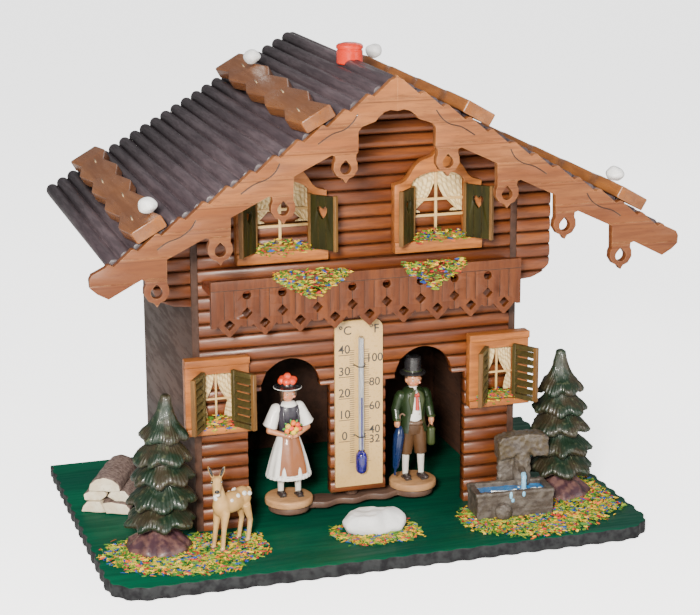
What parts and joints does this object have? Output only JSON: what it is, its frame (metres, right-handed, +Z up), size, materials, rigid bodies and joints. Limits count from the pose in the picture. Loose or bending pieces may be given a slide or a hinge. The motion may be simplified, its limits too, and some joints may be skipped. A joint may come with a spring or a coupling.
{
  "type": "weather house",
  "caption": "Chalet-shaped weather house with a thermometer, and two figures on a carrier that swings out of arched doorways as the air turns damp or dry.",
  "frame": {"origin": "on the base board's underside, midway between its ends, 23.9 mm behind the front wall's log crests", "axes": "+Z up, +X to the right of the front, +Y to the back; the front faces -Y"},
  "size_m": [0.228, 0.1454, 0.1954],
  "materials": {
    "log_wood": "warm red-brown stained half-round logs, satin varnish",
    "dark_wood": "cool dark grey-brown stain, flat",
    "roof_wood": "dark purplish-brown stained flutes, satin",
    "barge_wood": "tan to reddish-brown open grain, satin varnish",
    "frame_wood": "mid-brown stained wood, satin varnish",
    "plank_wood": "amber-brown varnish, glossy",
    "green_paint": "green gloss paint on board with a black edge",
    "olive_paint": "olive-green paint with brown edges",
    "curtain_card": "cream printed card",
    "plate_cream": "cream enamel with black print",
    "clear_glass": "clear glass with blue liquid",
    "clip_steel": "bright wire",
    "brass": "turned brass",
    "gut": "translucent gut cord",
    "red_plastic": "orange-red gloss plastic",
    "disc_wood": "turned disc, brown satin paint",
    "painted_resin": "hand-painted cast resin",
    "tree_resin": "dark green-brown cast resin, glossy",
    "white_stone": "white pebble",
    "bark_wood": "split logs with bark",
    "trough_resin": "grey-brown cast resin",
    "water_resin": "blue painted water"
  },
  "bodies": {
    "house": {"base_board": "green_paint", "front_log_wall": "log_wood", "left_log_bracket": "log_wood", "right_log_bracket": "log_wood", "balcony_rail_board": "log_wood", "balcony_shelf": "log_wood", "left_side_wall": "dark_wood", "right_side_wall": "dark_wood", "back_panel": "dark_wood", "left_roof_panel": "roof_wood", "right_roof_panel": "roof_wood", "left_barge_board": "barge_wood", "right_barge_board": "barge_wood", "left_lower_roof_plank": "plank_wood", "left_lower_roof_stone": "white_stone", "left_lower_window_frame": "frame_wood", "left_lower_window_curtain": "curtain_card", "left_lower_window_left_shutter": "olive_paint", "left_lower_window_right_shutter": "olive_paint", "left_upper_roof_plank": "plank_wood", "left_upper_roof_stone": "white_stone", "left_upper_window_frame": "frame_wood", "left_upper_window_curtain": "curtain_card", "left_upper_window_left_shutter": "olive_paint", "left_upper_window_right_shutter": "olive_paint", "right_lower_roof_plank": "plank_wood", "right_lower_roof_stone": "white_stone", "right_lower_window_frame": "frame_wood", "right_lower_window_curtain": "curtain_card", "right_lower_window_left_shutter": "olive_paint", "right_lower_window_right_shutter": "olive_paint", "right_upper_roof_plank": "plank_wood", "right_upper_roof_stone": "white_stone", "right_upper_window_frame": "frame_wood", "right_upper_window_curtain": "curtain_card", "right_upper_window_left_shutter": "olive_paint", "right_upper_window_right_shutter": "olive_paint", "spindle_bridge": "frame_wood", "spindle_bush": "brass", "deer": "painted_resin", "thermometer_plate": "plate_cream", "thermometer_tube": "clear_glass", "lower_tube_clip": "clip_steel", "upper_tube_clip": "clip_steel", "left_tree": "tree_resin", "right_tree": "tree_resin", "ground_stone": "white_stone", "firewood_stack": "bark_wood", "fountain": "trough_resin", "fountain_water": "water_resin"},
    "figure_carrier": {"carrier_bar": "disc_wood", "gut_clamp": "disc_wood", "gut_string": "gut", "woman_disc": "disc_wood", "man_disc": "disc_wood", "woman_figure": "painted_resin", "man_figure": "painted_resin"},
    "adjuster": {"chimney_knob": "red_plastic", "adjuster_spindle": "brass"}
  },
  "joints": [
    {"name": "carrier_swing", "type": "hinge", "parent": "house", "child": "figure_carrier", "pos_m": [0, -0.0145, 0.0095], "axis": [0, 0, 1], "range_deg": [-39, 31]},
    {"name": "adjuster_turn", "type": "hinge", "parent": "house", "child": "adjuster", "pos_m": [0, -0.0145, 0.187], "axis": [0, 0, 1], "range_deg": [-180, 180]}
  ]
}
